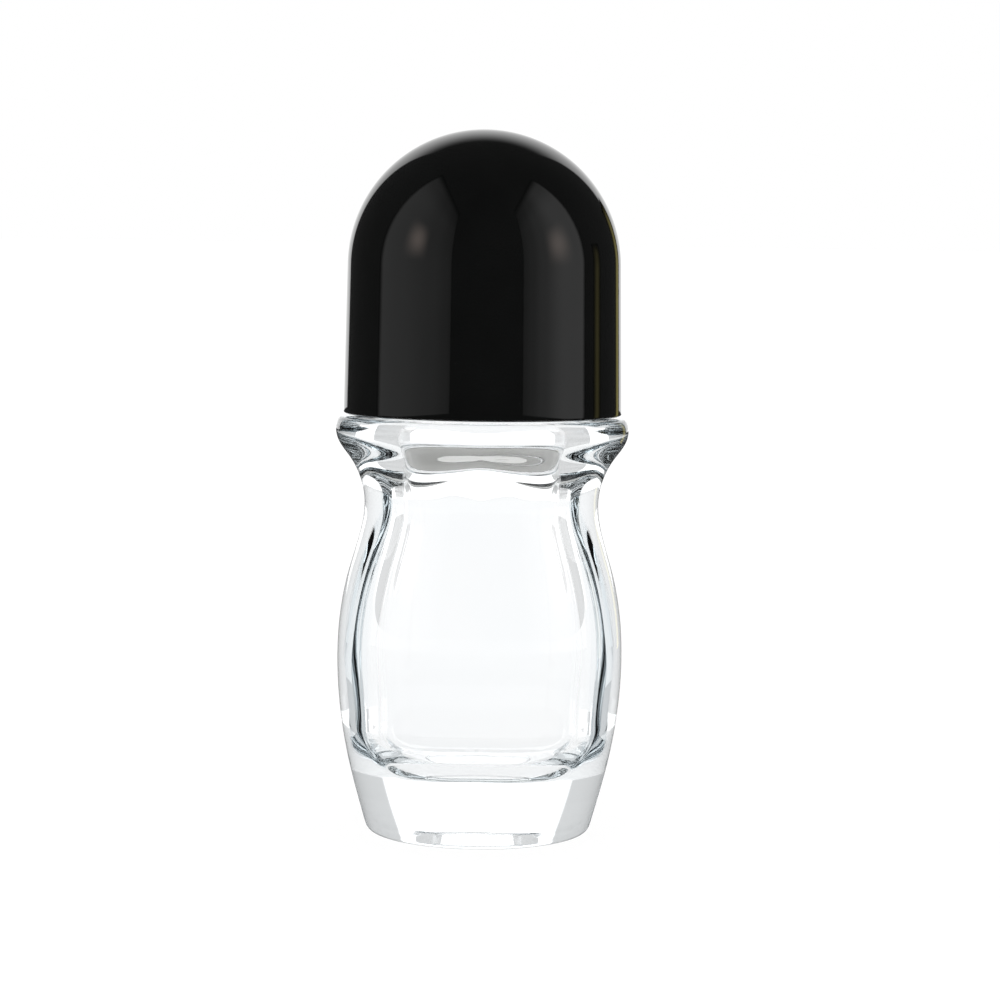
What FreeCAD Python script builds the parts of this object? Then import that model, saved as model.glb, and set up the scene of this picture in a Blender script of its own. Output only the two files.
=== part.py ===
"""Roll-on bottle: a thick glass bottle, a snap-in ball housing, a ball and a screw cap.

Millimetres, +Z up. The origin is the centre of the foot, on the surface the bottle stands on.
"""
import FreeCAD
import Part
import math
import os

from FreeCAD import Vector

# Ball and the housing that holds it
ball_diameter = 25.4
ball_wall = 1.6
ball_clearance = 0.15
housing_wall = 0.9
housing_lip_rise = 4.0
housing_seat_angle = 48.0
housing_skirt_length = 8.6
housing_skirt_wall = 1.15
housing_flange_height = 1.2
housing_flange_inset = 0.3
housing_rib_count = 2
housing_rib_height = 0.15
housing_rib_width = 0.8
housing_rib_spacing = 3.0
skirt_clearance = 0.05
socket_lift = 1.0

# Glass neck and the thread that the cap screws on
neck_step = 0.85
neck_wall = 3.1
neck_height = 11.9
neck_rim_radius = 0.7
neck_root_radius = 0.8
thread_depth = 1.0
thread_lead = 4.0
thread_root_width = 2.0
thread_crest_width = 0.9
thread_start = 3.5
thread_end_drop = 2.4
thread_embed = 0.3

# Glass body: half-width of the belly across the flats, insets of the levels below and above it,
# each level's rise above the one before it, and the corner radius as a share of the half-width
belly_half_width = 19.45
heel_inset = 1.55
foot_inset = 2.65
flank_inset = 1.45
waist_inset = 2.0
heel_rise = 10.5
belly_rise = 13.9
flank_rise = 11.7
waist_rise = 9.8
body_corner_share = 0.9
corner_fade_at_foot = 13.0
corner_fade_at_collar = 12.0
heel_edge_radius = 1.4

# Round collar under the cap
collar_root_rise = 5.6
collar_rise = 3.8
collar_overhang = 1.0
collar_half_height = 1.8
collar_edge_inset = 0.8
collar_edge_slope = 0.35
collar_root_inset = 1.95

# Hollow of the glass, its corner radius as a share of the half-width, and the push-up under the foot
glass_wall = 5.8
glass_floor = 9.2
cavity_corner_share = 0.6
cavity_floor_radius = 6.5
cavity_mouth_drop = 2.6
recess_diameter = 12.4
recess_depth = 2.4
recess_edge_radius = 0.5

# Cap: threaded inner cup, outer shell and sealing ring
thread_clearance = 0.25
sleeve_wall = 1.25
sleeve_inset = 0.6
cap_thread_fewer_turns = 0.4
shell_fit = 0.05
shell_wall = 1.5
shell_draft = 1.0
shell_edge_radius = 0.35
cap_gap = 0.4
seal_clearance = 0.1
seal_width = 2.0
seal_height = 1.2
seal_groove_clearance = 0.15
seal_bead_grip = 0.25
seal_bead_height = 0.55
seal_shoulder_width = 1.1

# Level outlines that each lofted surface runs through
body_outline_count = 41
wall_outline_count = 25
floor_outline_count = 5
round_side_half = 1.6

# Sizes that follow from the ones above, from the ball outwards
ball_radius = ball_diameter / 2
socket_radius = ball_radius + ball_clearance
housing_radius = socket_radius + housing_wall
neck_radius = housing_radius + neck_step
bore_radius = neck_radius - neck_wall
thread_radius = neck_radius + thread_depth
sleeve_bore_radius = thread_radius + thread_clearance
sleeve_radius = sleeve_bore_radius + sleeve_wall
shell_bore_radius = sleeve_radius + shell_fit
dome_radius = shell_bore_radius + shell_wall

# Levels, from the foot upwards
belly_height = heel_rise + belly_rise
flank_height = belly_height + flank_rise
waist_height = flank_height + waist_rise
collar_root_height = waist_height + collar_root_rise
collar_height = collar_root_height + collar_rise
body_height = collar_height + collar_half_height
thread_level = body_height + thread_start
thread_turns = (neck_height - thread_start - thread_end_drop) / thread_lead
rim_height = body_height + neck_height
centre_height = rim_height + math.sqrt(housing_radius ** 2 - bore_radius ** 2) + socket_lift
lip_height = centre_height + housing_lip_rise
cap_bottom = body_height + cap_gap

# Half-widths of the body, from the belly down and from the belly up
heel_half_width = belly_half_width - heel_inset
foot_half_width = heel_half_width - foot_inset
flank_half_width = belly_half_width - flank_inset
waist_half_width = flank_half_width - waist_inset

# Widths that need those levels
draft_ratio = math.tan(math.radians(shell_draft))
collar_radius = dome_radius + draft_ratio * (centre_height - cap_bottom) + collar_overhang
lip_outer_radius = math.sqrt(housing_radius ** 2 - housing_lip_rise ** 2)
lip_inner_radius = math.sqrt(socket_radius ** 2 - housing_lip_rise ** 2)
seal_inner_radius = lip_inner_radius + seal_clearance
seal_outer_radius = seal_inner_radius + seal_width

AXIS = Vector(0, 0, 1)
HALF_ROOT = math.sqrt(0.5)


def level_radius(sphere_radius, rise):
    """Radius of the level circle on a sphere, this far from its centre."""
    return math.sqrt(sphere_radius ** 2 - rise ** 2)


def skirt_radius(dome, height):
    """Radius at this level of the drafted skirt under a dome."""
    return dome + draft_ratio * (centre_height - height)


def smooth_step(value, low, high):
    share = min(max((value - low) / (high - low), 0.0), 1.0)
    return share * share * (3 - 2 * share)


def at(radius, height):
    """Point of a turned outline, in the XZ plane."""
    return Vector(radius, 0, height)


def line(start, end):
    return Part.LineSegment(start, end).toShape()


def arc(start, middle, end):
    return Part.Arc(start, middle, end).toShape()


def polyline(points):
    return [line(start, end) for start, end in zip(points, points[1:])]


def sphere_arc(radius, start_rise, end_rise):
    """Outline arc on a sphere about the ball's centre, between two levels."""
    start = math.asin(start_rise / radius)
    end = math.asin(end_rise / radius)
    angles = (start, (start + end) / 2, end)
    return arc(*[at(radius * math.cos(a), centre_height + radius * math.sin(a)) for a in angles])


def turned(edges):
    """Solid of revolution of a closed outline in the XZ plane."""
    outline = Part.Wire(Part.__sortEdges__(edges))
    return Part.Face(outline).revolve(Vector(0, 0, 0), AXIS, 360)


def level_outline(half_width, corner_radius, height):
    """Rounded square of four sides and four corner arcs, or a circle where no flat side is left."""
    corner_centre = half_width - corner_radius
    side_half = max(corner_centre, round_side_half)
    reach = corner_centre + level_radius(corner_radius, side_half - corner_centre)
    diagonal = corner_centre + corner_radius * HALF_ROOT
    side_start = Vector(reach, -side_half, height)
    side_middle = Vector(half_width, 0, height)
    side_end = Vector(reach, side_half, height)
    corner_middle = Vector(diagonal, diagonal, height)
    corner_end = Vector(side_half, reach, height)
    edges = []
    for quarter in range(4):
        turn = FreeCAD.Rotation(AXIS, 90 * quarter).multVec
        if side_half > corner_centre:
            edges.append(arc(turn(side_start), turn(side_middle), turn(side_end)))
        else:
            edges.append(line(turn(side_start), turn(side_end)))
        edges.append(arc(turn(side_end), turn(corner_middle), turn(corner_end)))
    return Part.Wire(edges)


def upright_curve(points, start_direction, end_direction):
    """Smooth curve through (half-width, height) points with a set direction at each end."""
    curve = Part.BSplineCurve()
    curve.interpolate(
        [at(*point) for point in points],
        InitialTangent=at(*start_direction),
        FinalTangent=at(*end_direction),
    )
    return curve


def curve_points(curve, count):
    """Evenly spread (half-width, height) points of an upright curve."""
    span = curve.LastParameter - curve.FirstParameter
    values = [curve.value(curve.FirstParameter + span * k / (count - 1)) for k in range(count)]
    return [(value.x, value.z) for value in values]


def thread_ridge(inner_radius, outer_radius, inner_width, outer_width, start_height, turns):
    """Right-hand helical ridge of trapezoid section, starting over the X axis."""
    corners = [
        at(inner_radius, -inner_width / 2),
        at(outer_radius, -outer_width / 2),
        at(outer_radius, outer_width / 2),
        at(inner_radius, inner_width / 2),
    ]
    outline = Part.Wire(polyline(corners + corners[:1]))
    helix = Part.makeHelix(thread_lead, thread_lead * turns, (inner_radius + outer_radius) / 2)
    ridge = Part.Wire(helix).makePipeShell([outline], True, True)
    ridge.translate(Vector(0, 0, start_height))
    if ridge.Volume < 0:
        ridge.reverse()
    return ridge


def outer_curve():
    """Outline of the glass body across its flats, from the foot to the top of the collar."""
    points = [
        (foot_half_width, 0.0),
        (heel_half_width, heel_rise),
        (belly_half_width, belly_height),
        (flank_half_width, flank_height),
        (waist_half_width, waist_height),
        (collar_radius - collar_root_inset, collar_root_height),
        (collar_radius, collar_height),
        (collar_radius - collar_edge_inset, body_height),
    ]
    heel_slope = (heel_half_width - foot_half_width, heel_rise)
    return upright_curve(points, heel_slope, (-1.0, collar_edge_slope))


def glass_body():
    """Waisted rounded-square body, whose corners fade out to a round foot and a round collar."""
    outlines = []
    for half_width, height in curve_points(outer_curve(), body_outline_count):
        foot_fade = max(1 - height / corner_fade_at_foot, 0.0) ** 2
        collar_fade = smooth_step(height, collar_root_height - corner_fade_at_collar, collar_root_height)
        squareness = (1 - foot_fade) * (1 - collar_fade)
        corner_radius = half_width * (1 - (1 - body_corner_share) * squareness)
        outlines.append(level_outline(half_width, corner_radius, height))
    body = Part.makeLoft(outlines, True, False)
    foot_edges = [edge for edge in body.Edges if edge.BoundBox.ZMax < heel_edge_radius / 2]
    return body.makeFillet(heel_edge_radius, foot_edges)


def cavity_outline_points():
    """Half-widths and heights of the hollow, up the rounded floor edge and then up the wall."""
    wall_foot = glass_floor + cavity_floor_radius
    wall_foot_level = Part.Plane(Vector(0, 0, wall_foot), AXIS)
    wall_foot_half_width = outer_curve().intersectCS(wall_foot_level)[0][0].X - glass_wall
    points = []
    for step in range(floor_outline_count):
        angle = math.pi / 2 * (1 - step / floor_outline_count)
        inset = cavity_floor_radius * (1 - math.cos(angle))
        points.append((wall_foot_half_width - inset, wall_foot - cavity_floor_radius * math.sin(angle)))
    wall = upright_curve([
        (wall_foot_half_width, wall_foot),
        (belly_half_width - glass_wall, belly_height),
        (flank_half_width - glass_wall, flank_height),
        (waist_half_width - glass_wall, waist_height),
        (bore_radius, body_height - cavity_mouth_drop),
    ], (0.0, 1.0), (0.0, 1.0))
    return points + curve_points(wall, wall_outline_count)


def glass_cavity():
    """Hollow with an even wall, from the flat floor up into the round bore of the neck."""
    mouth = body_height - cavity_mouth_drop
    outlines = []
    for half_width, height in cavity_outline_points():
        roundness = smooth_step(height, waist_height, mouth)
        corner_radius = half_width * (1 - (1 - cavity_corner_share) * (1 - roundness))
        outlines.append(level_outline(half_width, corner_radius, height))
    bore = Part.makeCylinder(bore_radius, rim_height - mouth, Vector(0, 0, mouth))
    return Part.makeLoft(outlines, True, False).fuse(bore)


def push_up():
    """Round hollow under the foot, rounded where its roof meets its wall."""
    block = Part.makeCylinder(recess_diameter / 2, recess_depth)
    roof_edges = [edge for edge in block.Edges if edge.BoundBox.ZMin > recess_depth / 2]
    return block.makeFillet(recess_edge_radius, roof_edges)


def glass_neck():
    """Round neck with a rolled rim, filleted into the top of the collar."""
    root_top = body_height + neck_root_radius
    root_outer = neck_radius + neck_root_radius
    rim_side = rim_height - neck_rim_radius
    rim_inner = neck_radius - neck_rim_radius
    edges = polyline([
        at(rim_inner, rim_height),
        at(bore_radius, rim_height),
        at(bore_radius, collar_height),
        at(root_outer, collar_height),
        at(root_outer, body_height),
    ])
    edges.append(arc(
        at(root_outer, body_height),
        at(root_outer - neck_root_radius * HALF_ROOT, root_top - neck_root_radius * HALF_ROOT),
        at(neck_radius, root_top),
    ))
    edges.append(line(at(neck_radius, root_top), at(neck_radius, rim_side)))
    edges.append(arc(
        at(neck_radius, rim_side),
        at(rim_inner + neck_rim_radius * HALF_ROOT, rim_side + neck_rim_radius * HALF_ROOT),
        at(rim_inner, rim_height),
    ))
    return turned(edges)


def glass_bottle():
    ridge = thread_ridge(
        neck_radius - thread_embed,
        thread_radius,
        thread_root_width,
        thread_crest_width,
        thread_level,
        thread_turns,
    )
    hollow_body = glass_body().cut(push_up()).cut(glass_cavity())
    return hollow_body.fuse([glass_neck(), ridge]).removeSplitter()


def ball_housing():
    """Plug with sealing ribs, a flange on the glass rim and a socket that snaps over the ball."""
    plug_radius = bore_radius - skirt_clearance
    plug_bore = plug_radius - housing_skirt_wall
    plug_bottom = rim_height - housing_skirt_length
    flange_radius = neck_radius - housing_flange_inset
    flange_top = rim_height + housing_flange_height
    socket_foot_radius = level_radius(housing_radius, centre_height - flange_top)
    seat_radius = socket_radius * math.cos(math.radians(housing_seat_angle))
    seat_drop = socket_radius * math.sin(math.radians(housing_seat_angle))
    seat_bottom = centre_height - seat_drop - housing_wall
    outside = [at(plug_bore, plug_bottom), at(plug_radius, plug_bottom)]
    for number in range(housing_rib_count, 0, -1):
        rib_height = rim_height - housing_rib_spacing * number
        outside.append(at(plug_radius, rib_height - housing_rib_width / 2))
        outside.append(at(plug_radius + housing_rib_height, rib_height))
        outside.append(at(plug_radius, rib_height + housing_rib_width / 2))
    outside += [
        at(plug_radius, rim_height),
        at(flange_radius, rim_height),
        at(flange_radius, flange_top),
        at(socket_foot_radius, flange_top),
    ]
    edges = polyline(outside)
    edges.append(sphere_arc(housing_radius, flange_top - centre_height, housing_lip_rise))
    edges.append(line(at(lip_outer_radius, lip_height), at(lip_inner_radius, lip_height)))
    edges.append(sphere_arc(socket_radius, housing_lip_rise, -seat_drop))
    edges += polyline([
        at(seat_radius, centre_height - seat_drop),
        at(seat_radius, seat_bottom),
        at(plug_bore, seat_bottom - (plug_bore - seat_radius)),
        at(plug_bore, plug_bottom),
    ])
    return turned(edges)


def roller_ball():
    """Hollow ball, free in its socket."""
    centre = Vector(0, 0, centre_height)
    return Part.makeSphere(ball_radius, centre).cut(Part.makeSphere(ball_radius - ball_wall, centre))


def cap_seal_ring():
    """Soft ring that the cap presses on the housing's lip."""
    foot = Vector(0, 0, lip_height)
    hole = Part.makeCylinder(seal_inner_radius, seal_height, foot)
    return Part.makeCylinder(seal_outer_radius, seal_height, foot).cut(hole)


def dome_outline(dome, bottom_radius, bottom):
    """Drafted skirt and dome of a cap wall, from its lower edge up to the axis."""
    return [line(at(bottom_radius, bottom), at(dome, centre_height)), sphere_arc(dome, 0.0, dome)]


def cap_inner():
    """Threaded cup under the shell, with a shoulder and a bead that hold the sealing ring."""
    bottom = cap_bottom + sleeve_inset
    groove_radius = seal_outer_radius + seal_groove_clearance
    bead_radius = seal_outer_radius - seal_bead_grip
    bead_top = lip_height - seal_groove_clearance
    bead_bottom = bead_top - seal_bead_height
    bead_rise = bead_bottom - centre_height
    shoulder = lip_height + seal_height
    shoulder_radius = groove_radius - seal_shoulder_width
    roof_rise = level_radius(sleeve_bore_radius, shoulder_radius)
    edges = dome_outline(sleeve_radius, skirt_radius(sleeve_radius, bottom), bottom)
    edges += polyline([
        at(skirt_radius(sleeve_radius, bottom), bottom),
        at(sleeve_bore_radius, bottom),
        at(sleeve_bore_radius, centre_height),
    ])
    edges.append(sphere_arc(sleeve_bore_radius, 0.0, bead_rise))
    edges += polyline([
        at(level_radius(sleeve_bore_radius, bead_rise), bead_bottom),
        at(bead_radius, bead_bottom),
        at(bead_radius, bead_top),
        at(groove_radius, bead_top),
        at(groove_radius, shoulder),
        at(shoulder_radius, shoulder),
        at(shoulder_radius, centre_height + roof_rise),
    ])
    edges.append(sphere_arc(sleeve_bore_radius, roof_rise, sleeve_bore_radius))
    edges.append(line(at(0, centre_height + sleeve_bore_radius), at(0, centre_height + sleeve_radius)))
    ridge = thread_ridge(
        neck_radius + thread_clearance,
        sleeve_bore_radius + thread_embed,
        thread_crest_width,
        thread_root_width,
        thread_level + thread_lead / 2,
        thread_turns - cap_thread_fewer_turns,
    )
    return turned(edges).fuse(ridge).removeSplitter()


def cap_shell():
    """Outer domed shell with an even wall and a rounded lower edge."""
    edge_top = cap_bottom + shell_edge_radius
    edge_outer = skirt_radius(dome_radius, edge_top)
    edge_inner = edge_outer - shell_edge_radius
    bore_bottom = skirt_radius(shell_bore_radius, cap_bottom)
    edges = dome_outline(dome_radius, edge_outer, edge_top)
    edges += dome_outline(shell_bore_radius, bore_bottom, cap_bottom)
    edges.append(arc(
        at(edge_inner, cap_bottom),
        at(edge_inner + shell_edge_radius * HALF_ROOT, edge_top - shell_edge_radius * HALF_ROOT),
        at(edge_outer, edge_top),
    ))
    edges.append(line(at(bore_bottom, cap_bottom), at(edge_inner, cap_bottom)))
    edges.append(line(at(0, centre_height + dome_radius), at(0, centre_height + shell_bore_radius)))
    return turned(edges)


def main():
    pieces = {
        "glass_bottle": glass_bottle(),
        "ball_housing": ball_housing(),
        "roller_ball": roller_ball(),
        "cap_seal_ring": cap_seal_ring(),
        "cap_inner": cap_inner(),
        "cap_shell": cap_shell(),
    }
    os.makedirs("parts", exist_ok=True)
    for name, shape in pieces.items():
        state = "valid" if shape.isValid() else "not valid"
        box = shape.BoundBox
        print(f"{name}: {state}, {shape.Volume:.1f} mm3, z {box.ZMin:.2f} to {box.ZMax:.2f}")
        shape.exportStep(f"parts/{name}.step")


main()
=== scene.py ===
"""Looks of the roll-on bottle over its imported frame.

Metres, +Z up, origin at the centre of the foot. Sizes of the pieces are in millimetres until MM scales them.
"""
import math

import bpy
import numpy as np
from mathutils import Matrix


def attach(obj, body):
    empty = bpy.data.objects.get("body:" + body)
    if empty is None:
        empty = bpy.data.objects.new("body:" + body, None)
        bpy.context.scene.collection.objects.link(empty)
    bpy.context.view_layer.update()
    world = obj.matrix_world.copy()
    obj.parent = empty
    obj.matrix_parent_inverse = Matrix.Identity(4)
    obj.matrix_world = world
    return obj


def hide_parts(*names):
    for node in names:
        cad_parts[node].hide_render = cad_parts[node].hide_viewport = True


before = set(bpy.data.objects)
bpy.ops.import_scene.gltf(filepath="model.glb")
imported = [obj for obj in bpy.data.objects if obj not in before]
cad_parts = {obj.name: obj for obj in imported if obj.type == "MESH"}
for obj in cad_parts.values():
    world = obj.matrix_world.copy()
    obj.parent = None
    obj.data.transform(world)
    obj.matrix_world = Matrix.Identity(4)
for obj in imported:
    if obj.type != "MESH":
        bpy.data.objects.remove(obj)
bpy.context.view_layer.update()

MM = 0.001

# Glass body: half-widths, the levels where they are reached, and corner radius as a share of half-width
FOOT_HALF_WIDTH = 15.25
HEEL_HALF_WIDTH = 17.9
HEEL_HEIGHT = 10.5
BELLY_HALF_WIDTH = 19.45
BELLY_HEIGHT = 24.4
FLANK_HALF_WIDTH = 18.0
FLANK_HEIGHT = 36.1
WAIST_HALF_WIDTH = 16.0
WAIST_HEIGHT = 45.9
COLLAR_ROOT_HEIGHT = 51.5
COLLAR_HEIGHT = 55.3
BODY_HEIGHT = 57.1
BODY_CORNER_SHARE = 0.9
CORNER_FADE_AT_FOOT = 13.0
CORNER_FADE_AT_COLLAR = 12.0
HEEL_EDGE_RADIUS = 1.4
COLLAR_RADIUS = 20.0
COLLAR_ROOT_INSET = 1.95
COLLAR_EDGE_INSET = 0.8
COLLAR_EDGE_SLOPE = 0.35

# Hollow of the glass and the push-up under the foot
GLASS_WALL = 5.8
GLASS_FLOOR = 9.2
CAVITY_CORNER_SHARE = 0.6
CAVITY_FLOOR_RADIUS = 6.5
CAVITY_MOUTH = 54.5
RECESS_RADIUS = 6.2
RECESS_DEPTH = 2.4
RECESS_EDGE_RADIUS = 0.5
RECESS_RIM_RADIUS = 0.3

# Neck and thread
NECK_RADIUS = 14.6
NECK_ROOT_RADIUS = 0.8
NECK_RIM_RADIUS = 0.7
BORE_RADIUS = 11.5
BORE_EDGE_RADIUS = 0.3
RIM_HEIGHT = 69.0
THREAD_LEVEL = 60.6
THREAD_LEAD = 4.0
THREAD_TURNS = 1.5
THREAD_DEPTH = 1.0
THREAD_CREST_HALF = 0.45
THREAD_ROOT_HALF = 0.87
THREAD_RUN_OUT = 0.25

# Cap shell
CENTRE_HEIGHT = 77.5374
CAP_BOTTOM = 57.5
DOME_RADIUS = 18.65
SHELL_BORE_RADIUS = 17.15
SHELL_DRAFT = math.tan(math.radians(1.0))
SHELL_EDGE_RADIUS = 0.35

# Fineness of the meshes
SIDE_POINTS = 16
CORNER_POINTS = 40
ROUND_SIDE_SHARE = 0.09
TURNED_POINTS = 192
BODY_RINGS = 170
WALL_RINGS = 90
THREAD_RING_STEP = 0.12
ROUND_RINGS = 10
DOME_RINGS = 6 * ROUND_RINGS
DOME_LAST_ANGLE = 89
ROOF_SHARES = (0.1, 0.5, 0.95)
FLOOR_SHARES = (0.9, 0.5, 0.1)


def smooth_step(value, low, high):
    share = np.clip((value - low) / (high - low), 0.0, 1.0)
    return share * share * (3 - 2 * share)


def smooth_curve(points, start_direction, end_direction, count):
    """Evenly spread points of the smooth curve through these points, with a set direction at each end."""
    points = np.array(points, float)
    steps = np.diff(points, axis=0)
    lengths = np.linalg.norm(steps, axis=1)
    directions = steps / lengths[:, None]
    last = len(points) - 1
    weights = np.eye(last + 1)
    slopes = np.zeros_like(points)
    slopes[0] = np.array(start_direction) / np.linalg.norm(start_direction)
    slopes[last] = np.array(end_direction) / np.linalg.norm(end_direction)
    for k in range(1, last):
        before = lengths[k - 1]
        after = lengths[k]
        weights[k, k - 1:k + 2] = after, 2 * (before + after), before
        slopes[k] = 3 * (after * directions[k - 1] + before * directions[k])
    slopes = np.linalg.solve(weights, slopes)
    knots = np.concatenate([[0.0], np.cumsum(lengths)])
    values = np.linspace(0.0, knots[-1], count)
    part = np.clip(np.searchsorted(knots, values, side="right") - 1, 0, last - 1)
    length = lengths[part][:, None]
    t = (values - knots[part])[:, None] / length
    return (
        (1 + 2 * t) * (1 - t) ** 2 * points[part]
        + t * (1 - t) ** 2 * length * slopes[part]
        + t ** 2 * (3 - 2 * t) * points[part + 1]
        + t ** 2 * (t - 1) * length * slopes[part + 1]
    )


def round_points(centre, radius, start, end, count=ROUND_RINGS):
    """(half-width, height) points of an arc between two angles, in degrees from straight out."""
    angles = np.radians(np.linspace(start, end, count))
    return [(centre[0] + radius * math.cos(a), centre[1] + radius * math.sin(a)) for a in angles]


def level_ring(half_width, corner_radius, height):
    """Points round a rounded square, which is a circle where the corner radius is the half-width."""
    centre = half_width - corner_radius
    side_half = max(centre, ROUND_SIDE_SHARE * half_width)
    lead_in = math.asin((side_half - centre) / corner_radius)
    across = np.linspace(-side_half, side_half, SIDE_POINTS, endpoint=False)
    bulge = np.clip(np.abs(across) - centre, 0.0, None)
    side = np.column_stack([centre + np.sqrt(corner_radius ** 2 - bulge ** 2), across])
    angles = np.linspace(lead_in, math.pi / 2 - lead_in, CORNER_POINTS, endpoint=False)
    corner = centre + corner_radius * np.column_stack([np.cos(angles), np.sin(angles)])
    quarters = [np.vstack([side, corner])]
    for _ in range(3):
        quarters.append(np.column_stack([-quarters[-1][:, 1], quarters[-1][:, 0]]))
    outline = np.vstack(quarters)
    return np.column_stack([outline, np.full(len(outline), height)])


def circle_ring(radius, height):
    return level_ring(radius, radius, height)


def turned_ring(radius, height):
    """Evenly spread points round a circle."""
    angles = np.linspace(0, 2 * math.pi, TURNED_POINTS, endpoint=False)
    return np.column_stack([radius * np.cos(angles), radius * np.sin(angles), np.full(len(angles), height)])


def closed_object(name, rings):
    """Smooth closed mesh through a stack of rings, with a point in the middle of each end ring."""
    count = len(rings[0])
    start_pole = rings[0].mean(axis=0)
    end_pole = rings[-1].mean(axis=0)
    points = np.vstack([*rings, start_pole, end_pole]) * MM
    start_index = len(points) - 2
    end_index = len(points) - 1
    last = (len(rings) - 1) * count
    faces = []
    for j in range(count):
        after = (j + 1) % count
        for k in range(0, last, count):
            faces.append((k + j, k + after, k + count + after, k + count + j))
        faces.append((start_index, after, j))
        faces.append((end_index, last + j, last + after))
    mesh = bpy.data.meshes.new(name)
    mesh.from_pydata(points.tolist(), [], faces)
    mesh.shade_smooth()
    piece = bpy.data.objects.new(name, mesh)
    bpy.context.scene.collection.objects.link(piece)
    return piece


def body_ring(half_width, height):
    """Level ring of the body's outside, slightly squared at the belly, round at the foot and the collar."""
    foot_fade = max(1 - height / CORNER_FADE_AT_FOOT, 0.0) ** 2
    collar_fade = smooth_step(height, COLLAR_ROOT_HEIGHT - CORNER_FADE_AT_COLLAR, COLLAR_ROOT_HEIGHT)
    squareness = (1 - foot_fade) * (1 - collar_fade)
    return level_ring(half_width, half_width * (1 - (1 - BODY_CORNER_SHARE) * squareness), height)


def foot_rings():
    """Push-up, standing ring and rounded heel, from the middle outwards."""
    roof_radius = RECESS_RADIUS - RECESS_EDGE_RADIUS
    rim_radius = RECESS_RADIUS + RECESS_RIM_RADIUS
    outline = [(roof_radius * share, RECESS_DEPTH) for share in ROOF_SHARES]
    outline += round_points((roof_radius, RECESS_DEPTH - RECESS_EDGE_RADIUS), RECESS_EDGE_RADIUS, 90, 0)
    outline += round_points((rim_radius, RECESS_RIM_RADIUS), RECESS_RIM_RADIUS, 180, 270)
    outline.append((rim_radius + RECESS_RIM_RADIUS, 0.0))
    lean = math.atan2(HEEL_HALF_WIDTH - FOOT_HALF_WIDTH, HEEL_HEIGHT)
    heel_centre = FOOT_HALF_WIDTH + HEEL_EDGE_RADIUS * (math.tan(lean) - 1 / math.cos(lean))
    outline.append((heel_centre - HEEL_EDGE_RADIUS, 0.0))
    outline += round_points((heel_centre, HEEL_EDGE_RADIUS), HEEL_EDGE_RADIUS, -90, -math.degrees(lean))
    return [circle_ring(*point) for point in outline]


def outer_rings(start_height):
    """Waisted body and round collar, from the heel up."""
    outline = smooth_curve([
        (FOOT_HALF_WIDTH, 0.0),
        (HEEL_HALF_WIDTH, HEEL_HEIGHT),
        (BELLY_HALF_WIDTH, BELLY_HEIGHT),
        (FLANK_HALF_WIDTH, FLANK_HEIGHT),
        (WAIST_HALF_WIDTH, WAIST_HEIGHT),
        (COLLAR_RADIUS - COLLAR_ROOT_INSET, COLLAR_ROOT_HEIGHT),
        (COLLAR_RADIUS, COLLAR_HEIGHT),
        (COLLAR_RADIUS - COLLAR_EDGE_INSET, BODY_HEIGHT),
    ], (HEEL_HALF_WIDTH - FOOT_HALF_WIDTH, HEEL_HEIGHT), (-1.0, COLLAR_EDGE_SLOPE), BODY_RINGS)
    return outline, [body_ring(*point) for point in outline if point[1] > start_height]


def thread_rise(angles, height):
    """How far the screw thread stands out of the neck, round one level ring."""
    rise = np.zeros_like(angles)
    for turn in range(math.ceil(THREAD_TURNS)):
        along = angles / (2 * math.pi) + turn
        offset = np.abs(height - THREAD_LEVEL - THREAD_LEAD * along)
        ridge = 1 - smooth_step(offset, THREAD_CREST_HALF, THREAD_ROOT_HALF)
        run = smooth_step(along, 0.0, THREAD_RUN_OUT / 2)
        run = run * (1 - smooth_step(along, THREAD_TURNS - THREAD_RUN_OUT / 2, THREAD_TURNS))
        rise = np.maximum(rise, THREAD_DEPTH * ridge * run)
    return rise


def neck_rings():
    """Top of the collar, threaded neck, rolled rim and straight bore, from the outside in."""
    root = (NECK_RADIUS + NECK_ROOT_RADIUS, BODY_HEIGHT + NECK_ROOT_RADIUS)
    rings = [circle_ring(root[0] + NECK_ROOT_RADIUS, BODY_HEIGHT)]
    rings += [circle_ring(*point) for point in round_points(root, NECK_ROOT_RADIUS, 270, 180)]
    neck_top = RIM_HEIGHT - NECK_RIM_RADIUS
    for height in np.arange(root[1] + THREAD_RING_STEP, neck_top, THREAD_RING_STEP):
        ring = circle_ring(NECK_RADIUS, height)
        angles = np.arctan2(ring[:, 1], ring[:, 0]) % (2 * math.pi)
        ring[:, :2] *= (1 + thread_rise(angles, height) / NECK_RADIUS)[:, None]
        rings.append(ring)
    rim = round_points((NECK_RADIUS - NECK_RIM_RADIUS, neck_top), NECK_RIM_RADIUS, 0, 90)
    bore_edge = (BORE_RADIUS + BORE_EDGE_RADIUS, RIM_HEIGHT - BORE_EDGE_RADIUS)
    rim += round_points(bore_edge, BORE_EDGE_RADIUS, 90, 180)
    for share in np.linspace(0.1, 0.9, ROUND_RINGS):
        rim.append((BORE_RADIUS, RIM_HEIGHT + (CAVITY_MOUTH - RIM_HEIGHT) * share))
    return rings + [circle_ring(*point) for point in rim]


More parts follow.
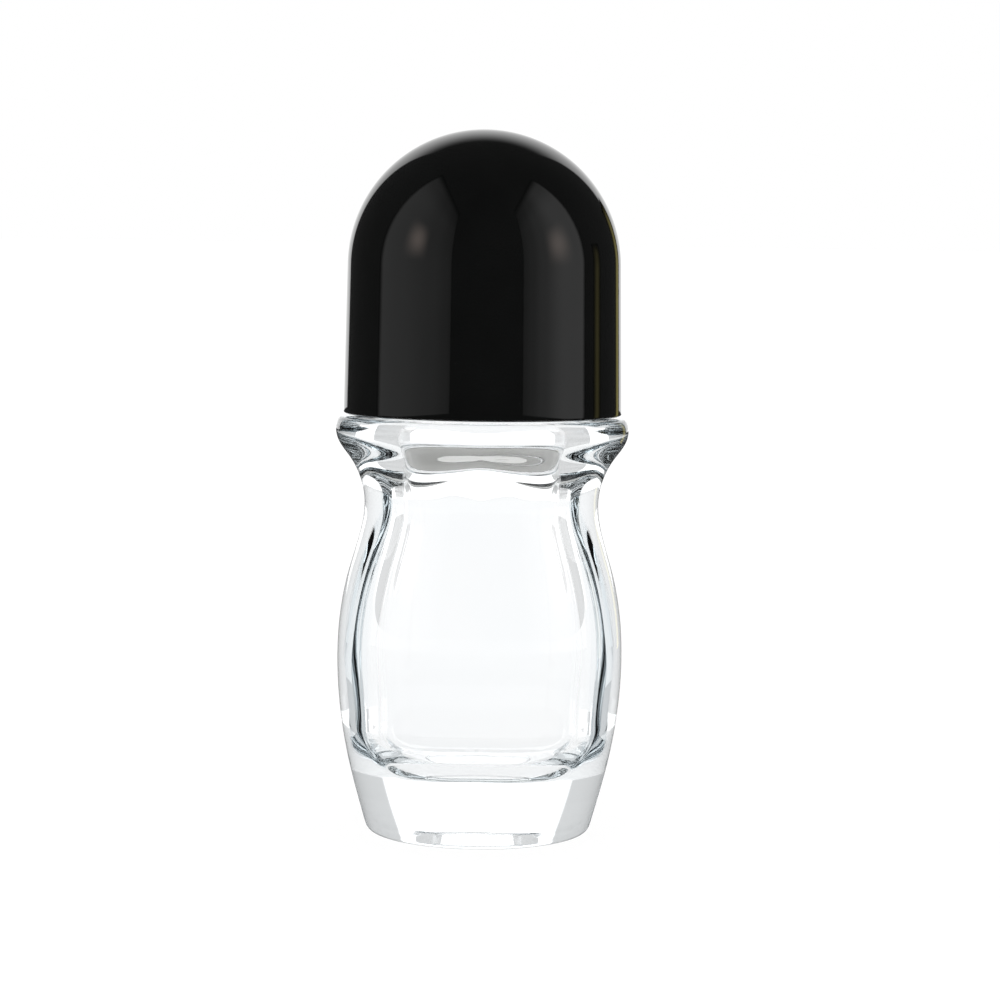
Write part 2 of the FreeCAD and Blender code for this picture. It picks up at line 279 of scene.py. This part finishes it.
def cavity_rings(outline):
    """Hollow with an even wall, from the bore down to the middle of its floor."""
    wall_foot = GLASS_FLOOR + CAVITY_FLOOR_RADIUS
    lower = outline[:BODY_RINGS // 2]
    foot_half = np.interp(wall_foot, lower[:, 1], lower[:, 0]) - GLASS_WALL
    wall = smooth_curve([
        (BORE_RADIUS, CAVITY_MOUTH),
        (WAIST_HALF_WIDTH - GLASS_WALL, WAIST_HEIGHT),
        (FLANK_HALF_WIDTH - GLASS_WALL, FLANK_HEIGHT),
        (BELLY_HALF_WIDTH - GLASS_WALL, BELLY_HEIGHT),
        (foot_half, wall_foot),
    ], (0.0, -1.0), (0.0, -1.0), WALL_RINGS)
    floor_half = foot_half - CAVITY_FLOOR_RADIUS
    floor_edge = round_points((floor_half, wall_foot), CAVITY_FLOOR_RADIUS, 0, -90, 2 * ROUND_RINGS)
    rings = []
    for half_width, height in [*wall, *floor_edge[1:]]:
        roundness = smooth_step(height, WAIST_HEIGHT, CAVITY_MOUTH)
        corner = half_width * (1 - (1 - CAVITY_CORNER_SHARE) * (1 - roundness))
        rings.append(level_ring(half_width, corner, height))
    for share in FLOOR_SHARES:
        rings.append(level_ring(floor_half * share, CAVITY_CORNER_SHARE * floor_half * share, GLASS_FLOOR))
    return rings


def glass_piece():
    outline, body = outer_rings(HEEL_EDGE_RADIUS)
    return closed_object("bottle_glass", foot_rings() + body + neck_rings() + cavity_rings(outline))


def shell_piece():
    """Domed shell of the cap with a rounded lower edge, from the inside of its dome to the outside."""
    rise = CENTRE_HEIGHT - CAP_BOTTOM
    bore_bottom = SHELL_BORE_RADIUS + SHELL_DRAFT * rise
    edge_top = CAP_BOTTOM + SHELL_EDGE_RADIUS
    edge_outer = DOME_RADIUS + SHELL_DRAFT * (CENTRE_HEIGHT - edge_top)
    edge_centre = (edge_outer - SHELL_EDGE_RADIUS, edge_top)
    outline = round_points((0.0, CENTRE_HEIGHT), SHELL_BORE_RADIUS, DOME_LAST_ANGLE, 0, DOME_RINGS)
    for share in np.linspace(0.1, 1.0, ROUND_RINGS):
        outline.append((SHELL_BORE_RADIUS + SHELL_DRAFT * rise * share, CENTRE_HEIGHT - rise * share))
    outline.append((bore_bottom + SHELL_EDGE_RADIUS / 2, CAP_BOTTOM))
    outline += round_points(edge_centre, SHELL_EDGE_RADIUS, -90, 0)
    for share in np.linspace(0.05, 0.95, ROUND_RINGS):
        height = edge_top + (CENTRE_HEIGHT - edge_top) * share
        outline.append((DOME_RADIUS + SHELL_DRAFT * (CENTRE_HEIGHT - height), height))
    outline += round_points((0.0, CENTRE_HEIGHT), DOME_RADIUS, 0, DOME_LAST_ANGLE, DOME_RINGS)
    return closed_object("cap_dome", [turned_ring(*point) for point in outline])


# Finishes: middle of a noise's range, grains to the metre, depths in metres and the angle of a sharp edge
NOISE_LOW = 0.3
NOISE_HIGH = 0.7
COLOUR_DETAIL = 3.0
RELIEF_DETAIL = 2.0
GLASS_INDEX = 1.52
GLASS_COLOUR_GRAIN = 60.0
GLASS_ROUGHNESS_GRAIN = 90.0
GLASS_RELIEF_GRAIN = 70.0
GLASS_RELIEF_DEPTH = 0.000003
GLASS_RELIEF_STRETCH = (1.0, 1.0, 0.4)
GLASS_TINT = (0.5, 0.7, 0.8, 1.0)
GLASS_DENSITY = 4.0
PLASTIC_INDEX = 1.5
PLASTIC_COLOUR_GRAIN = 120.0
PLASTIC_ROUGHNESS_GRAIN = 260.0
SHARP_ANGLE = math.radians(32)


class Finish:
    """Node material whose colour, roughness and surface vary with noise fixed to the piece."""

    def __init__(self, name, **values):
        self.material = bpy.data.materials.new(name)
        self.material.use_nodes = True
        self.tree = self.material.node_tree
        self.shader = self.tree.nodes["Principled BSDF"]
        for socket, value in values.items():
            self.shader.inputs[socket.replace("_", " ")].default_value = value
        self.place = self.tree.nodes.new("ShaderNodeTexCoord").outputs["Object"]

    def noise(self, scale, detail=COLOUR_DETAIL, stretch=(1.0, 1.0, 1.0)):
        """Noise with this many grains to the metre."""
        mapping = self.tree.nodes.new("ShaderNodeMapping")
        mapping.inputs["Scale"].default_value = stretch
        texture = self.tree.nodes.new("ShaderNodeTexNoise")
        texture.inputs["Scale"].default_value = scale
        texture.inputs["Detail"].default_value = detail
        self.tree.links.new(self.place, mapping.inputs["Vector"])
        self.tree.links.new(mapping.outputs["Vector"], texture.inputs["Vector"])
        return texture.outputs["Fac"]

    def ramp(self, value, low, high):
        """Colour that runs from low to high over the middle of a noise's range."""
        ramp = self.tree.nodes.new("ShaderNodeValToRGB")
        ramp.color_ramp.elements[0].position = NOISE_LOW
        ramp.color_ramp.elements[0].color = low
        ramp.color_ramp.elements[1].position = NOISE_HIGH
        ramp.color_ramp.elements[1].color = high
        self.tree.links.new(value, ramp.inputs["Fac"])
        return ramp.outputs["Color"]

    def colour(self, scale, low, high):
        tint = self.ramp(self.noise(scale), (*low, 1), (*high, 1))
        self.tree.links.new(tint, self.shader.inputs["Base Color"])

    def roughness(self, scale, low, high):
        spread = self.tree.nodes.new("ShaderNodeMapRange")
        spread.inputs["From Min"].default_value = NOISE_LOW
        spread.inputs["From Max"].default_value = NOISE_HIGH
        spread.inputs["To Min"].default_value = low
        spread.inputs["To Max"].default_value = high
        self.tree.links.new(self.noise(scale), spread.inputs["Value"])
        self.tree.links.new(spread.outputs["Result"], self.shader.inputs["Roughness"])

    def relief(self, scale, depth, stretch=(1.0, 1.0, 1.0)):
        """Fine waviness of this depth, in metres."""
        bump = self.tree.nodes.new("ShaderNodeBump")
        bump.inputs["Distance"].default_value = depth
        self.tree.links.new(self.noise(scale, RELIEF_DETAIL, stretch), bump.inputs["Height"])
        self.tree.links.new(bump.outputs["Normal"], self.shader.inputs["Normal"])


def glass_finish():
    glass = Finish("clear_glass", Transmission_Weight=1.0, IOR=GLASS_INDEX)
    glass.colour(GLASS_COLOUR_GRAIN, (0.985, 0.99, 0.995), (1.0, 1.0, 1.0))
    glass.roughness(GLASS_ROUGHNESS_GRAIN, 0.0, 0.006)
    glass.relief(GLASS_RELIEF_GRAIN, GLASS_RELIEF_DEPTH, GLASS_RELIEF_STRETCH)
    absorption = glass.tree.nodes.new("ShaderNodeVolumeAbsorption")
    absorption.inputs["Color"].default_value = GLASS_TINT
    absorption.inputs["Density"].default_value = GLASS_DENSITY
    glass.tree.links.new(absorption.outputs["Volume"], glass.tree.nodes["Material Output"].inputs["Volume"])
    return glass.material


def plastic_finish(name, low, high, smoothest, roughest, grain, depth):
    plastic = Finish(name, IOR=PLASTIC_INDEX)
    plastic.colour(PLASTIC_COLOUR_GRAIN, low, high)
    plastic.roughness(PLASTIC_ROUGHNESS_GRAIN, smoothest, roughest)
    plastic.relief(grain, depth)
    return plastic.material


def dress(piece, material):
    piece.data.materials.clear()
    piece.data.materials.append(material)


def dress_node(name, material):
    """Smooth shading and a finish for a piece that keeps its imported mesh."""
    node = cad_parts[name]
    node.data.shade_smooth()
    node.data.set_sharp_from_angle(angle=SHARP_ANGLE)
    dress(node, material)


def build_pieces():
    glass = glass_piece()
    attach(glass, "bottle")
    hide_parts("glass_bottle")
    dress(glass, glass_finish())
    glass.visible_shadow = False
    glass.visible_diffuse = False

    shell = shell_piece()
    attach(shell, "cap")
    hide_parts("cap_shell")
    dress(shell, plastic_finish(
        "gloss_black", low=(0.0022, 0.0024, 0.0023), high=(0.0034, 0.0036, 0.0035),
        smoothest=0.03, roughest=0.06, grain=900.0, depth=0.000002,
    ))
    # The inner cup's milky colour is painted darker than its own, as painted shade for the shade it sits in
    # under the cap.
    dress_node("cap_inner", plastic_finish(
        "milky_cup_painted_shade", low=(0.62, 0.62, 0.60), high=(0.69, 0.69, 0.68),
        smoothest=0.36, roughest=0.48, grain=2200.0, depth=0.00001,
    ))
    dress_node("ball_housing", plastic_finish(
        "milky_housing", low=(0.80, 0.80, 0.78), high=(0.86, 0.86, 0.85),
        smoothest=0.34, roughest=0.46, grain=1800.0, depth=0.00001,
    ))
    dress_node("roller_ball", plastic_finish(
        "polished_ball", low=(0.84, 0.84, 0.83), high=(0.90, 0.90, 0.89),
        smoothest=0.10, roughest=0.18, grain=700.0, depth=0.000003,
    ))
    dress_node("cap_seal_ring", plastic_finish(
        "soft_seal", low=(0.66, 0.66, 0.63), high=(0.76, 0.76, 0.74),
        smoothest=0.62, roughest=0.78, grain=3200.0, depth=0.00003,
    ))


# Studio: side panels of a light tent, the panel behind, lamps and warm strips, out of the camera's sight
SIDE_DISTANCE = 0.5
BACK_DISTANCE = 0.9
BACK_HALF_WIDTH = 0.54
LAMP_DISTANCE = SIDE_DISTANCE - 0.01
LAMP_WIDTH = 0.31
LAMP_HEIGHT = 0.34
FLOOR_RADIUS = 40.0
FLOOR_POINTS = 128
FLOOR_COLOUR = (0.92, 0.92, 0.92, 1.0)
FLOOR_ROUGHNESS = 0.8
WHITE = (1.0, 1.0, 1.0)
LAMP_TINT = (1.0, 0.80, 0.70)
GOLD = (1.0, 0.88, 0.34)

# Brightness of the surroundings for mirrored light, and for the other kinds of ray
MIRRORED_STRENGTH = 0.045
RAY_STRENGTHS = (("Is Diffuse Ray", 1.15), ("Is Transmission Ray", 0.75), ("Is Camera Ray", 1.0))

# Stops of the panels, as (place, share of the strength) along or up them
LEFT_SPREAD = [(0.0, 0.0), (0.06, 0.45), (0.17, 0.55), (0.47, 0.75), (0.80, 1.0), (0.955, 1.0), (1.0, 0.0)]
RIGHT_SPREAD = [(0.0, 0.0), (0.06, 0.27), (0.27, 0.38), (0.47, 0.58), (0.75, 1.0), (0.955, 0.9), (1.0, 0.0)]
BACK_SPREAD = [(0.0, 0.0), (0.05, 1.0), (0.95, 1.0), (1.0, 0.0)]
BACK_RISE = [(0.0, 1.0), (0.45, 0.85), (1.0, 0.0)]
SOFT_SPOT = [(0.0, 0.0), (0.5, 1.0), (1.0, 0.0)]
FADE_AT_TOP = [(0.0, 1.0), (0.5, 0.9), (0.8, 0.55), (1.0, 0.0)]


def card(name, corner, along, up, along_stops, up_stops):
    """Staged rectangle, its material's nodes and a value in them that follows stops along it and up it."""
    corner = np.array(corner, float)
    along = np.array(along, float)
    up = np.array(up, float)
    mesh = bpy.data.meshes.new(name)
    mesh.from_pydata([corner, corner + along, corner + along + up, corner + up], [], [(0, 1, 2, 3)])
    mesh.uv_layers.new(name="spread").data.foreach_set("uv", [0, 0, 1, 0, 1, 1, 0, 1])
    material = bpy.data.materials.new(name)
    material.use_nodes = True
    tree = material.node_tree
    tree.nodes.clear()
    place = tree.nodes.new("ShaderNodeUVMap")
    split = tree.nodes.new("ShaderNodeSeparateXYZ")
    tree.links.new(place.outputs["UV"], split.inputs["Vector"])
    product = tree.nodes.new("ShaderNodeMath")
    product.operation = "MULTIPLY"
    for number, (axis, stops) in enumerate([("X", along_stops), ("Y", up_stops)]):
        ramp = tree.nodes.new("ShaderNodeValToRGB")
        ramp.color_ramp.interpolation = "EASE"
        while len(ramp.color_ramp.elements) < len(stops):
            ramp.color_ramp.elements.new(1.0)
        for element, (position, share) in zip(ramp.color_ramp.elements, stops):
            element.position = position
            element.color = (share, share, share, 1.0)
        tree.links.new(split.outputs[axis], ramp.inputs["Fac"])
        tree.links.new(ramp.outputs["Color"], product.inputs[number])
    piece = bpy.data.objects.new(name, mesh)
    mesh.materials.append(material)
    bpy.context.scene.collection.objects.link(piece)
    piece.visible_camera = False
    piece.visible_shadow = False
    piece.visible_diffuse = False
    return piece, tree, product.outputs["Value"]


def panel(name, corner, along, up, tint, strength, along_stops, up_stops, see_through=False):
    """Glowing card, which hides what is behind it unless it is see-through."""
    piece, tree, value = card(name, corner, along, up, along_stops, up_stops)
    power = tree.nodes.new("ShaderNodeMath")
    power.operation = "MULTIPLY"
    power.inputs[1].default_value = strength
    tree.links.new(value, power.inputs[0])
    glow = tree.nodes.new("ShaderNodeEmission")
    glow.inputs["Color"].default_value = (*tint, 1.0)
    tree.links.new(power.outputs["Value"], glow.inputs["Strength"])
    surface = glow.outputs["Emission"]
    if see_through:
        clear = tree.nodes.new("ShaderNodeBsdfTransparent")
        both = tree.nodes.new("ShaderNodeAddShader")
        tree.links.new(surface, both.inputs[0])
        tree.links.new(clear.outputs["BSDF"], both.inputs[1])
        surface = both.outputs["Shader"]
    output = tree.nodes.new("ShaderNodeOutputMaterial")
    tree.links.new(surface, output.inputs["Surface"])
    return piece


def build_mirrored_lights():
    """Panels, lamps and strips that only the glossy surfaces mirror."""
    lights = [
        panel(
            "left_panel", corner=(-SIDE_DISTANCE, -1.03, 0.0), along=(0, 1.08, 0), up=(0, 0, 1.15),
            tint=WHITE, strength=0.47, along_stops=LEFT_SPREAD, up_stops=FADE_AT_TOP,
        ),
        panel(
            "right_panel", corner=(SIDE_DISTANCE, -0.80, 0.0), along=(0, 0.82, 0), up=(0, 0, 1.05),
            tint=WHITE, strength=0.74, along_stops=RIGHT_SPREAD, up_stops=FADE_AT_TOP,
        ),
        panel(
            "left_lamp", corner=(-LAMP_DISTANCE, -0.45, 0.11), along=(0, LAMP_WIDTH, 0),
            up=(0, 0, LAMP_HEIGHT), tint=LAMP_TINT, strength=1.3,
            along_stops=SOFT_SPOT, up_stops=SOFT_SPOT, see_through=True,
        ),
        panel(
            "right_lamp", corner=(LAMP_DISTANCE, -0.38, 0.07), along=(0, LAMP_WIDTH, 0),
            up=(0, 0, LAMP_HEIGHT), tint=LAMP_TINT, strength=1.1,
            along_stops=SOFT_SPOT, up_stops=SOFT_SPOT, see_through=True,
        ),
        panel(
            "near_strip", corner=(0.226, 0.040, 0.0), along=(0.018, 0.052, 0), up=(0, 0, 0.13),
            tint=GOLD, strength=0.40, along_stops=SOFT_SPOT, up_stops=FADE_AT_TOP,
        ),
        panel(
            "far_strip", corner=(0.150, 0.172, 0.0), along=(-0.035, 0.033, 0), up=(0, 0, 0.15),
            tint=GOLD, strength=0.75, along_stops=SOFT_SPOT, up_stops=FADE_AT_TOP,
        ),
    ]
    for light in lights:
        light.visible_transmission = False


def build_back_panel():
    panel(
        "back_panel", corner=(-BACK_HALF_WIDTH, BACK_DISTANCE, 0.0), along=(2 * BACK_HALF_WIDTH, 0, 0),
        up=(0, 0, 1.25), tint=WHITE, strength=1.2,
        along_stops=BACK_SPREAD, up_stops=BACK_RISE, see_through=True,
    )


def build_floor():
    bpy.ops.mesh.primitive_circle_add(vertices=FLOOR_POINTS, radius=FLOOR_RADIUS, fill_type="TRIFAN")
    floor = bpy.context.object
    floor.name = "floor"
    pale = bpy.data.materials.new("pale_floor")
    pale.use_nodes = True
    shader = pale.node_tree.nodes["Principled BSDF"]
    shader.inputs["Base Color"].default_value = FLOOR_COLOUR
    shader.inputs["Roughness"].default_value = FLOOR_ROUGHNESS
    shader.inputs["Specular IOR Level"].default_value = 0.0
    dress(floor, pale)
    floor.visible_glossy = False


def build_world():
    """Even surroundings of a different brightness for each kind of ray, darkest where they are mirrored."""
    world = bpy.data.worlds.new("studio")
    bpy.context.scene.world = world
    world.use_nodes = True
    tree = world.node_tree
    rays = tree.nodes.new("ShaderNodeLightPath")
    tree.nodes["Background"].inputs["Color"].default_value = (*WHITE, 1.0)
    tree.nodes["Background"].inputs["Strength"].default_value = MIRRORED_STRENGTH
    surface = tree.nodes["Background"].outputs["Background"]
    for ray, strength in RAY_STRENGTHS:
        light = tree.nodes.new("ShaderNodeBackground")
        light.inputs["Color"].default_value = (*WHITE, 1.0)
        light.inputs["Strength"].default_value = strength
        choice = tree.nodes.new("ShaderNodeMixShader")
        tree.links.new(rays.outputs[ray], choice.inputs["Fac"])
        tree.links.new(surface, choice.inputs[1])
        tree.links.new(light.outputs["Background"], choice.inputs[2])
        surface = choice.outputs["Shader"]
    tree.links.new(surface, tree.nodes["World Output"].inputs["Surface"])


def build_studio():
    build_mirrored_lights()
    build_back_panel()
    build_floor()
    build_world()


# Camera, fitted to the outline in the photograph
PHOTO_WIDTH = 1000.0
SENSOR_WIDTH = 36.0
FOCAL_PIXELS = 3035.8
CAMERA_DISTANCE = 0.4148
CAMERA_HEIGHT = 0.08128
CAMERA_RIGHT = 0.00254
CAMERA_TILT = math.radians(4.902)
CAMERA_ROLL = math.radians(0.75)
NEAR_CLIP = 0.01
FAR_CLIP = 200.0

# Most bounces of a ray through the glass, and between mirroring surfaces
GLASS_BOUNCES = 24
MIRROR_BOUNCES = 12


def build_camera():
    lens = bpy.data.cameras.new("camera")
    lens.sensor_width = SENSOR_WIDTH
    lens.lens = FOCAL_PIXELS / PHOTO_WIDTH * SENSOR_WIDTH
    lens.clip_start = NEAR_CLIP
    lens.clip_end = FAR_CLIP
    camera = bpy.data.objects.new("camera", lens)
    bpy.context.scene.collection.objects.link(camera)
    turn = Matrix.Rotation(math.pi / 2 - CAMERA_TILT, 4, "X") @ Matrix.Rotation(CAMERA_ROLL, 4, "Z")
    camera.matrix_world = Matrix.Translation((CAMERA_RIGHT, -CAMERA_DISTANCE, CAMERA_HEIGHT)) @ turn
    bpy.context.scene.camera = camera


build_pieces()
build_studio()
build_camera()
scene = bpy.context.scene
scene.view_settings.view_transform = "Standard"
scene.cycles.max_bounces = GLASS_BOUNCES
scene.cycles.transmission_bounces = GLASS_BOUNCES
scene.cycles.glossy_bounces = MIRROR_BOUNCES
